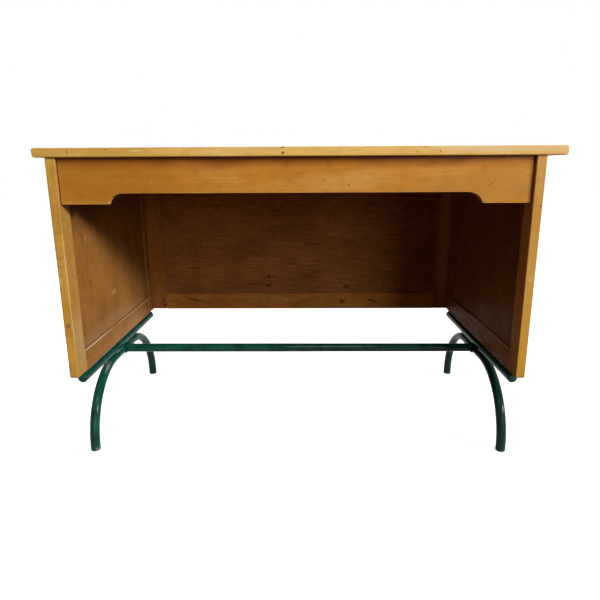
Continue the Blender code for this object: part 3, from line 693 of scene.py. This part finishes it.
def pick(obj, kind, test):
    """In edit mode, selects only the verts, edges or faces that pass a test."""
    bpy.ops.mesh.select_mode(type={"verts": "VERT", "edges": "EDGE", "faces": "FACE"}[kind])
    bpy.ops.mesh.select_all(action="DESELECT")
    shape = bmesh.from_edit_mesh(obj.data)
    for item in getattr(shape, kind):
        item.select_set(bool(test(item)))
    shape.select_flush_mode()
    bmesh.update_edit_mesh(obj.data)


def pick_all():
    """In edit mode, selects the whole mesh."""
    bpy.ops.mesh.select_all(action="SELECT")


def unit(axis, length=1.0):
    """A vector of some length along one axis."""
    vector = Vector((0.0, 0.0, 0.0))
    vector[axis] = length
    return vector


def cut(place, normal, remove=False):
    """In edit mode, cuts the whole mesh along a plane. What lies beyond it can go, with a new end."""
    pick_all()
    bpy.ops.mesh.bisect(plane_co=place, plane_no=normal, use_fill=remove, clear_outer=remove)


def extrude(move):
    """In edit mode, extrudes what is selected by a move."""
    bpy.ops.mesh.extrude_region_move(TRANSFORM_OT_translate={"value": move})


def apply(obj, kind, **settings):
    """Adds a modifier, sets it, and applies it at once."""
    modifier = obj.modifiers.new(kind.lower(), kind)
    for name, value in settings.items():
        setattr(modifier, name, value)
    bpy.context.view_layer.objects.active = obj
    bpy.ops.object.modifier_apply(modifier=modifier.name)


def settle(obj, name):
    """Names a new piece and moves its place, turn and size into its mesh."""
    obj.name = name
    obj.data.name = name
    bpy.ops.object.transform_apply(location=True, rotation=True, scale=True)
    return obj


def dress(obj, node, material):
    """The piece stands for its CAD node, wears its material and rides on the desk."""
    obj.data.materials.clear()
    obj.data.materials.append(material)
    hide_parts(node)
    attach(obj, "root")


# %% [markdown]
# ## Boards
#
# A planed board isn't a sharp box. Its long edges were broken with sandpaper and have worn to a round
# of about 2 mm, and the bottom ends of the stiles to one of 4 mm, while the rails' sawn ends stay
# crisp. Bevel weights tell one Bevel modifier how round each edge is. A border laid 4.5 mm inside
# each face keeps the wear near the edges, and weighted normals keep the flats flat beside the small
# rounds.

# %% Boards
STILE_ROUND = 1.8 * MM
STILE_CORNER = 4.0 * MM
RAIL_ROUND = 2.0 * MM
END_SHARE = 0.28
BORDER = 4.5 * MM
SHARP = math.radians(40)
TRUNK = random.Random(12)
AXES = {"x": 0, "y": 1, "z": 2}
SAME_PLACE = MM / 10


def cube(name, low, high):
    """A box between two corners."""
    fresh()
    bpy.ops.mesh.primitive_cube_add(size=1, location=(low + high) / 2, scale=high - low)
    return settle(bpy.context.object, name)


def runs_along(axis):
    """A test for edges that run along one axis."""
    return lambda edge: abs((edge.verts[0].co - edge.verts[1].co).normalized()[axis]) > 0.99


def round_edges(obj, width, shares, segments=4):
    """Rounds the edges that pass each test, by the share of the width that goes with the test."""
    edit(obj)
    for test, share in shares:
        pick(obj, "edges", test)
        bpy.ops.transform.edge_bevelweight(value=share)
    leave()
    apply(obj, "BEVEL", limit_method="WEIGHT", width=width, segments=segments)


def along_and_across(axis, end_share):
    """Full rounds on the edges along an axis, and slight ones across it."""
    along = runs_along(axis)
    return ((along, 1.0), (lambda edge: not along(edge), end_share))


def stile_shares(low):
    """Slight rounds on a stile's long edges and top, and full ones round its bottom end."""
    slight = STILE_ROUND / STILE_CORNER
    bottom = lambda edge: max(vert.co.z for vert in edge.verts) < low.z + MM
    return ((bottom, 1.0), (lambda edge: not bottom(edge), slight))


def lay_border(obj, axes):
    """Insets the flat sides across some axes: arris is 1 on the edges and 0 inside the border."""
    edit(obj)
    shape = bmesh.from_edit_mesh(obj.data)
    layer = shape.verts.layers.float.new("arris")
    for vert in shape.verts:
        vert[layer] = 1.0
    bmesh.update_edit_mesh(obj.data)
    low = Vector(obj.bound_box[0])
    high = Vector(obj.bound_box[6])
    for axis in axes:
        for sign in (-1, 1):
            level = (high if sign > 0 else low)[axis]
            side = lambda face: (
                face.normal[axis] * sign > 0.999
                and abs(face.calc_center_median()[axis] - level) < SAME_PLACE
            )
            pick(obj, "faces", side)
            bpy.ops.mesh.inset(thickness=BORDER, use_boundary=True)
            shape = bmesh.from_edit_mesh(obj.data)
            layer = shape.verts.layers.float["arris"]
            for face in shape.faces:
                if face.select:
                    for vert in face.verts:
                        vert[layer] = 0.0
            bmesh.update_edit_mesh(obj.data)
    leave()


def give_heart(obj, grain, hearts=None):
    """Writes on each face where the heart of its tree ran."""
    layer = obj.data.attributes.new("heart", "FLOAT_VECTOR", "FACE")
    middle = (Vector(obj.bound_box[0]) + Vector(obj.bound_box[6])) / 2
    if hearts is None:
        own = new_heart(middle, grain)
        hearts = lambda place: own
    for face in obj.data.polygons:
        layer.data[face.index].vector = hearts(face.center)


def new_heart(middle, grain):
    """A point 45 to 120 mm from a board's middle, in any direction across its grain."""
    turn = TRUNK.uniform(0, 2 * math.pi)
    away = TRUNK.uniform(45, 120) * MM
    shift = [away * math.cos(turn), away * math.sin(turn)]
    shift.insert(AXES[grain], TRUNK.uniform(-2, 2))
    return middle + Vector(shift)


def smooth(obj):
    """Shades an object smooth, except at its sharp edges."""
    select_only(obj)
    bpy.ops.object.shade_smooth_by_angle(angle=SHARP)


def finish_board(obj):
    """Shades the rounds smooth and keeps the flats flat."""
    smooth(obj)
    apply(obj, "WEIGHTED_NORMAL", keep_sharp=True, weight=80)


def groove(obj, axis, sign, across, span, run, limits, depth):
    """Sinks a groove into one edge of a board, between two levels across it and two along it."""
    edit(obj)
    for plane_axis, levels in ((across, span), (run, limits)):
        for level in levels:
            cut(unit(plane_axis, level), unit(plane_axis))
    pick(
        obj,
        "faces",
        lambda face: face.normal[axis] * sign > 0.9
        and span[0] < face.calc_center_median()[across] < span[1]
        and limits[0] < face.calc_center_median()[run] < limits[1],
    )
    extrude(unit(axis, -sign * depth))
    leave()


# %% [markdown]
# ## Tabletop
#
# The top is solid wood, glued up from staves a hand wide. Only the front stave's edge faces the
# sitter. Its two ends are rounded over like a bull's nose and its long edges just eased. The joints
# are cut in with bisect, so that each stave can show its own tree.

# %% Tabletop
END_ROUND = 6.5 * MM
FRONT_ROUND_SHARE = 0.38
STAVES = 6

low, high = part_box("tabletop")
tabletop = cube("desk_top", low, high)
round_edges(tabletop, END_ROUND, along_and_across(1, FRONT_ROUND_SHARE), 6)
edit(tabletop)
front_edge = low.y
stave = (high.y - front_edge) / STAVES
for at in range(1, STAVES):
    cut((0, front_edge + at * stave, 0), (0, 1, 0))
leave()
lay_border(tabletop, (1, 2))
stave_middles = [Vector((0, front_edge + (at + 0.5) * stave, low.z)) for at in range(STAVES)]
stave_hearts = [new_heart(middle, "x") for middle in stave_middles]


def heart_of_stave(place):
    """The heart of the stave that a place on the top belongs to."""
    at = int((place.y - front_edge) / stave)
    return stave_hearts[min(STAVES - 1, max(0, at))]


give_heart(tabletop, "x", heart_of_stave)
finish_board(tabletop)
dress(tabletop, "tabletop", beech_top)
print("tabletop", len(tabletop.data.polygons), "faces, staves", round(stave * 1000), "mm wide")

# %% [markdown]
# ## Side and rear frames
#
# Each side is two upright stiles, two rails between them and a panel in a groove. The rear frame is
# the same, turned across the desk. The boards are one function, called with each CAD node's corners.
# A rail's CAD node has hidden tenons, so its visible length is taken from stile to stile.

# %% Side and rear frames
JOINT = 0.1 * MM
GROOVE_DEPTH = 8 * MM
PLAY = 0.3 * MM


def finish_piece(obj, node, grain, material):
    """Gives a board its heart, its shading and its material, in the place of its CAD node."""
    give_heart(obj, grain)
    finish_board(obj)
    dress(obj, node, material)
    print(obj.name, len(obj.data.polygons), "faces")


def frame_boards(prefix, first, second, run, uprights, crosswise):
    """Stiles and rails of one frame. The rails run along an axis, between the two stiles."""
    axis = AXES[run]
    through = 1 - axis
    panel_low, panel_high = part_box(f"{prefix}_panel")
    slot = (panel_low[through] - PLAY, panel_high[through] + PLAY)
    stiles = [(f"{prefix}_{name}_stile", *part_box(f"{prefix}_{name}_stile")) for name in (first, second)]
    inner = (stiles[0][2][axis], stiles[1][1][axis])
    rails = [(f"{prefix}_{name}_rail", *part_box(f"{prefix}_{name}_rail")) for name in ("bottom", "top")]
    clear = (rails[0][2].z, rails[1][1].z)
    for sign, (node, low, high), material in zip((1, -1), stiles, uprights):
        stile = cube(node.replace("stile", "upright"), low, high)
        round_edges(stile, STILE_CORNER, stile_shares(low))
        lay_border(stile, (0, 1))
        reach = (clear[0] - GROOVE_DEPTH, clear[1] + GROOVE_DEPTH)
        groove(stile, axis, sign, through, slot, 2, reach, GROOVE_DEPTH)
        finish_piece(stile, node, "z", material)
    for sign, (node, low, high) in zip((1, -1), rails):
        low[axis] = inner[0] + JOINT
        high[axis] = inner[1] - JOINT
        rail = cube(node.replace("rail", "crosspiece"), low, high)
        round_edges(rail, RAIL_ROUND, along_and_across(axis, END_SHARE))
        lay_border(rail, (through, 2))
        groove(rail, 2, sign, through, slot, axis, (low[axis] - MM, high[axis] + MM), GROOVE_DEPTH)
        finish_piece(rail, node, run, crosswise)


for side in ("left", "right"):
    frame_boards(f"side_{side}", "front", "rear", "y", (beech_front, beech_side), beech_rail)
frame_boards("rear", "left", "right", "x", (rear_z, rear_z), rear_x)

# %% [markdown]
# The front faces of the front stiles stay honey. Their sides get darker, matt copies of the beech,
# which paint in shade: tan outside and on the left inside, and red-brown on the right inside, with a
# painted warm glow. So those faces are picked by the way they look and given their own material.

# %% Sides of the front stiles


def darken(obj, sign, material):
    """Gives the faces of a stile that look to one side their own material."""
    obj.data.materials.append(material)
    edit(obj)
    pick(obj, "faces", lambda face: face.normal.x * sign > 0.8)
    obj.active_material_index = len(obj.data.materials) - 1
    bpy.ops.object.material_slot_assign()
    leave()
    print(obj.name, "now also wears", material.name)


DARKER_SIDES = (
    ("left", 1, beech_inner),
    ("left", -1, beech_inner),
    ("right", 1, beech_inner),
    ("right", -1, beech_red),
)
for side, sign, material in DARKER_SIDES:
    darken(bpy.data.objects[f"side_{side}_front_upright"], sign, material)

# %% [markdown]
# ## Apron
#
# The apron is one board between the side frames, deep at both ends and shallow over the knees. A
# bandsaw would cut the shallow part away. Here a block does it: its two upper edges are rounded
# while it is narrow, then it is stretched sideways, which makes long coves of the round ones, and a
# Boolean takes it out of the board.

# %% Apron
EAR = 105.5 * MM
COVE_LENGTH = 30 * MM
COVE_HEIGHT = 24.5 * MM
COVE_LEAD = 4 * MM
WORN_CORNER = (3 * MM, 24 * MM)
APRON_ROUND = 1.2 * MM
CUTTER_MARGIN = 10 * MM
CUTTER_DROP = 60 * MM
COVE_CUTS = 14

low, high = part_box("apron")
apron = cube("apron_board", low, high)
left, right = low.x + EAR, high.x - EAR
radius = COVE_HEIGHT + COVE_LEAD
stretch = COVE_LENGTH / COVE_HEIGHT
half = (right - left) / 2 / stretch
middle = (left + right) / 2
opening = cube(
    "kneehole_cutter",
    Vector((middle - half, low.y - CUTTER_MARGIN, low.z - CUTTER_DROP)),
    Vector((middle + half, high.y + CUTTER_MARGIN, low.z + COVE_HEIGHT)),
)
edit(opening)
pick(opening, "edges", lambda edge: runs_along(1)(edge) and edge.verts[0].co.z > low.z)
bpy.ops.mesh.bevel(offset=radius, segments=COVE_CUTS, affect="EDGES")
for vert in bmesh.from_edit_mesh(opening.data).verts:
    vert.co.x = middle + (vert.co.x - middle) * stretch
bmesh.update_edit_mesh(opening.data)
leave()
apply(apron, "BOOLEAN", operation="DIFFERENCE", solver="EXACT", object=opening)
bpy.data.objects.remove(opening)
edit(apron)
wide, tall = WORN_CORNER
cut((high.x, 0, low.z + tall), (tall, 0, -wide), remove=True)
leave()
apply(apron, "BEVEL", limit_method="ANGLE", angle_limit=SHARP, width=APRON_ROUND, segments=3)
lay_border(apron, (1,))
give_heart(apron, "x")
finish_board(apron)
dress(apron, "apron", apron_beech)
print("apron", len(apron.data.polygons), "faces")

# %% [markdown]
# ## Panels, blocks, battens and screws
#
# The thin panels, the glued blocks, the battens, the dowels and the screws keep their CAD shapes,
# which are right as they are. They only get their materials. The nodes of the base go green as well,
# although modelled tubes stand for them below.

# %% Materials on the CAD nodes


def wear(node, material):
    """Gives a CAD node its material."""
    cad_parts[node].data.materials.clear()
    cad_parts[node].data.materials.append(material)


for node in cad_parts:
    if node == "rear_panel":
        wear(node, rear_ply)
    elif node.endswith("panel"):
        wear(node, side_ply)
    elif "screw" in node:
        wear(node, steel)
    elif "block" in node or "batten" in node or "dowel" in node:
        wear(node, bare)
    elif node in ("tabletop", "apron") or "stile" in node or "rail" in node:
        continue
    else:
        wear(node, green)
kept = [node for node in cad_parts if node.endswith("panel") or "screw" in node]
print(len(kept), "panels and screws keep their CAD shapes")

# %% [markdown]
# ## Steel tubes
#
# All the base is one size of tube. The straight ones start as an open cylinder. A leg is a circle at
# the front foot that is extruded up, spun a quarter turn, extruded over the top, spun again and
# extruded down, as a bending machine would lead the tube. Solidify gives the wall afterwards.

# %% Straight tubes and bent legs
TUBE_SIDES = 48
BEND_CUTS = 28
TUBE_WALL = 1.5 * MM
FIT = 0.3 * MM
ALONG_X = (0.0, math.pi / 2, 0.0)
ALONG_Y = (math.pi / 2, 0.0, 0.0)
low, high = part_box("base_tube_left")
TUBE_RADIUS = (high.x - low.x) / 2


def give_wall(obj):
    """Joins the doubled rings of an open tube, points its faces outwards and thickens it inwards."""
    edit(obj)
    pick_all()
    bpy.ops.mesh.remove_doubles(threshold=MM / 100)
    bpy.ops.mesh.normals_make_consistent(inside=False)
    leave()
    apply(obj, "SOLIDIFY", thickness=TUBE_WALL, offset=-1)


def paint(obj, node):
    """Shades a steel piece smooth and gives it the enamel, in the place of its CAD node."""
    smooth(obj)
    dress(obj, node, green)


def quarter_turn(centre):
    """In edit mode, leads the open end of a tube round a bend, as a bending machine does."""
    bpy.ops.mesh.spin(steps=BEND_CUTS, angle=math.pi / 2, center=centre, axis=(1, 0, 0))


def cylinder(name, radius, length, place, turn, sides=TUBE_SIDES, ends="NGON"):
    """A cylinder that is turned from upright. Its ends can be left open."""
    fresh()
    bpy.ops.mesh.primitive_cylinder_add(
        vertices=sides,
        radius=radius,
        depth=length,
        end_fill_type=ends,
        location=place,
        rotation=turn,
    )
    return settle(bpy.context.object, name)


def straight_tube(name, start, end):
    """A tube between the middles of its two ends, along x or along y."""
    turn = ALONG_X if start.y == end.y else ALONG_Y
    length = (end - start).length
    tube = cylinder(name, TUBE_RADIUS, length, (start + end) / 2, turn, ends="NOTHING")
    give_wall(tube)
    return tube


def bent_leg(name, low, high, crown_half):
    """The arched leg, from the front foot over the crown to the rear foot."""
    x = (low.x + high.x) / 2
    front, rear = low.y + TUBE_RADIUS, high.y - TUBE_RADIUS
    middle = (front + rear) / 2
    bend = (rear - front) / 2 - crown_half
    spring = high.z - TUBE_RADIUS - bend
    fresh()
    bpy.ops.mesh.primitive_circle_add(
        vertices=TUBE_SIDES, radius=TUBE_RADIUS, location=(x, front, low.z), fill_type="NOTHING"
    )
    leg = settle(bpy.context.object, name)
    edit(leg)
    pick_all()
    extrude((0, 0, spring - low.z))
    quarter_turn((x, middle - crown_half, spring))
    extrude((0, 2 * crown_half, 0))
    quarter_turn((x, middle + crown_half, spring))
    extrude((0, 0, low.z - spring))
    leave()
    give_wall(leg)
    return leg


for side in ("left", "right"):
    low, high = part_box(f"base_tube_{side}")
    centre = (low + high) / 2
    start = Vector((centre.x, low.y, centre.z))
    end = Vector((centre.x, high.y, centre.z))
    tube = straight_tube(f"side_tube_{side}", start, end)
    paint(tube, f"base_tube_{side}")
    weld_low, weld_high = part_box(f"weld_outer_{side}")
    leg = bent_leg(f"bent_leg_{side}", *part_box(f"arch_leg_{side}"), (weld_high.y - weld_low.y) / 2)
    paint(leg, f"arch_leg_{side}")
    print(side, "tube and leg", len(tube.data.polygons), len(leg.data.polygons), "faces")

# %% [markdown]
# The cross tube is coped: each end is cut to the round of the leg it meets, as a fitter's hole saw
# would do. A cylinder the size of the leg is the cutter, in a Boolean.

# %% Cross tube
low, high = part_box("stretcher")
CROSS = (low + high) / 2
leg_axes = []
for side in ("left", "right"):
    leg_low, leg_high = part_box(f"arch_leg_{side}")
    leg_axes.append((leg_low.x + leg_high.x) / 2)
start, end = [Vector((x, CROSS.y, CROSS.z)) for x in leg_axes]
cross_tube = straight_tube("cross_tube", start, end)
for spot_on_leg in (start, end):
    size = (TUBE_RADIUS + FIT, 4 * TUBE_RADIUS)
    cope = cylinder("cope_cutter", *size, spot_on_leg, ALONG_Y, 2 * TUBE_SIDES)
    apply(cross_tube, "BOOLEAN", operation="DIFFERENCE", solver="EXACT", object=cope)
    bpy.data.objects.remove(cope)
paint(cross_tube, "stretcher")
print("cross tube", round((end - start).length * 1000), "mm between the legs")

# %% [markdown]
# ## Tube plugs and feet
#
# Pressed steel plugs close the tubes and are painted over with them. One with a dome goes into the
# ends of the side tubes: half a ball, flattened, with a rim and a spigot behind it. One with a flat
# base goes under each leg. Each kind is modelled once and copied to its four places.

# %% Tube plugs and feet
PLUG_DOME = 5.5 * MM
PLUG_RIM = 1.5 * MM
SPIGOT = 12 * MM
FOOT_RIM = 3 * MM
FOOT_EDGE = 2 * MM
DOME_RINGS = 20
EDGE_CUTS = 6


def add_spigot(obj, axis):
    """Steps in by the tube's wall from the face that looks along an axis, and runs into the tube."""
    pick(obj, "faces", lambda face: face.normal[axis] > 0.9)
    bpy.ops.mesh.inset(thickness=TUBE_WALL + FIT)
    extrude(unit(axis, SPIGOT))


def copy_to(source, name, place, turn=0.0):
    """A copy with its own mesh, turned about the vertical, with its place moved into the mesh."""
    copy = source.copy()
    copy.data = source.data.copy()
    bpy.context.scene.collection.objects.link(copy)
    copy.location = place
    copy.rotation_euler.z = turn
    select_only(copy)
    return settle(copy, name)


fresh()
bpy.ops.mesh.primitive_uv_sphere_add(
    segments=TUBE_SIDES, ring_count=DOME_RINGS, radius=TUBE_RADIUS, rotation=ALONG_Y
)
plug = settle(bpy.context.object, "plug")
edit(plug)
cut((0, 0, 0), (0, 1, 0), remove=True)
pick_all()
bpy.ops.transform.resize(value=(1, PLUG_DOME / TUBE_RADIUS, 1), center_override=(0, 0, 0))
pick(plug, "faces", lambda face: face.normal.y > 0.9)
extrude((0, PLUG_RIM, 0))
add_spigot(plug, 1)
leave()
smooth(plug)

foot = cylinder("foot", TUBE_RADIUS, FOOT_RIM, (0, 0, FOOT_RIM / 2), UPRIGHT)
edit(foot)
pick(foot, "edges", lambda edge: max(vert.co.z for vert in edge.verts) < SAME_PLACE)
bpy.ops.mesh.bevel(offset=FOOT_EDGE, segments=EDGE_CUTS)
add_spigot(foot, 2)
leave()
smooth(foot)

for side in ("left", "right"):
    for end, turn in (("front", 0.0), ("rear", math.pi)):
        node = f"tube_plug_{end}_{side}"
        low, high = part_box(node)
        centre = (low + high) / 2
        rim = low.y + PLUG_DOME if end == "front" else high.y - PLUG_DOME
        piece = copy_to(plug, f"domed_plug_{end}_{side}", (centre.x, rim, centre.z), turn)
        dress(piece, node, green)
        node = f"foot_{end}_{side}"
        low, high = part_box(node)
        centre = (low + high) / 2
        piece = copy_to(foot, f"leg_foot_{end}_{side}", (centre.x, centre.y, low.z))
        dress(piece, node, green)
bpy.data.objects.remove(plug)
bpy.data.objects.remove(foot)
print("8 plugs and feet")

# %% [markdown]
# ## Weld beads
#
# A welder lays a bead as a row of small overlapping pools. One pool is modelled: a ring that swells
# and shrinks again. An Array repeats it along the joint, and both ends are closed.
#
# The bead round the end of the cross tube lies on a saddle. It is a torus whose upper part is cut away
# and whose points then move sideways by the leg's own round.

# %% Weld beads
POOL = 2.2 * MM
POOL_START = 0.8
POOL_CREST = 1.08
POOL_SHAPE = ((0.3, 1.0), (0.3, POOL_CREST), (0.4, POOL_START))
BEAD_END = ((0.6, 0.75), (0.4, 0.5))
BEAD_SIDES = 16
WELD_RADIUS = 2 * MM
SADDLE_CUTS = 72
SADDLE_SIDES = 12
SADDLE_START = math.radians(30)
SADDLE_EASE = 3 * MM


def extrude_ring(length, grow, centre, at):
    """In edit mode, extrudes a ring along y to a level, and makes it wider or narrower there."""
    extrude((0, length, 0))
    bpy.ops.transform.resize(value=(grow, 1, grow), center_override=(centre.x, at, centre.z))


def weld_bead(name, node):
    """A rippled bead along y that fills its CAD node's box."""
    low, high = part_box(node)
    radius = (high.x - low.x) / 2
    centre = (low + high) / 2
    length = high.y - low.y - 2 * radius
    pools = round(length / POOL)
    step = length / pools
    fresh()
    bpy.ops.mesh.primitive_circle_add(
        vertices=BEAD_SIDES,
        radius=POOL_START * radius / POOL_CREST,
        location=(centre.x, low.y + radius, centre.z),
        rotation=ALONG_Y,
    )
    bead = settle(bpy.context.object, name)
    edit(bead)
    pick_all()
    before = POOL_START
    at = low.y + radius
    for share, wide in POOL_SHAPE:
        at += share * step
        extrude_ring(share * step, wide / before, centre, at)
        before = wide
    leave()
    apply(
        bead,
        "ARRAY",
        count=pools,
        use_relative_offset=False,
        use_constant_offset=True,
        constant_offset_displace=(0, step, 0),
        use_merge_vertices=True,
        merge_threshold=MM / 50,
    )
    edit(bead)
    for sign, level in ((-1, low.y + radius), (1, high.y - radius)):
        pick(bead, "edges", lambda edge: all(abs(vert.co.y - level) < MM / 50 for vert in edge.verts))
        bpy.ops.mesh.edge_face_add()
        for share, shrink in BEAD_END:
            level += sign * share * radius
            extrude_ring(sign * share * radius, shrink, centre, level)
    pick_all()
    bpy.ops.mesh.normals_make_consistent(inside=False)
    leave()
    paint(bead, node)
    return pools


def saddle_bead(name, node, axis, inward):
    """The bead round one end of the cross tube, from above its middle down and under."""
    low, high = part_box(node)
    across = (high.y - low.y) / 2 - WELD_RADIUS
    start = CROSS.z + across * math.sin(SADDLE_START)
    fresh()
    bpy.ops.mesh.primitive_torus_add(
        major_segments=SADDLE_CUTS,
        minor_segments=SADDLE_SIDES,
        major_radius=across,
        minor_radius=WELD_RADIUS,
        location=(axis, CROSS.y, CROSS.z),
        rotation=ALONG_X,
    )
    bead = settle(bpy.context.object, name)
    edit(bead)
    cut((axis, CROSS.y, start), (0, 0, 1), remove=True)
    shape = bmesh.from_edit_mesh(bead.data)
    for vert in shape.verts:
        vert.co.x += inward * math.hypot(vert.co.y - CROSS.y, SADDLE_EASE)
    bmesh.update_edit_mesh(bead.data)
    leave()
    paint(bead, node)


for side, axis, inward in (("left", leg_axes[0], 1), ("right", leg_axes[1], -1)):
    counts = []
    for part in ("outer", "inner_front", "inner_rear"):
        counts.append(weld_bead(f"bead_{part}_{side}", f"weld_{part}_{side}"))
    saddle_bead(f"bead_cross_{side}", f"weld_stretcher_{side}", axis, inward)
    print(side, "beads of", counts, "pools, and one round the cross tube")
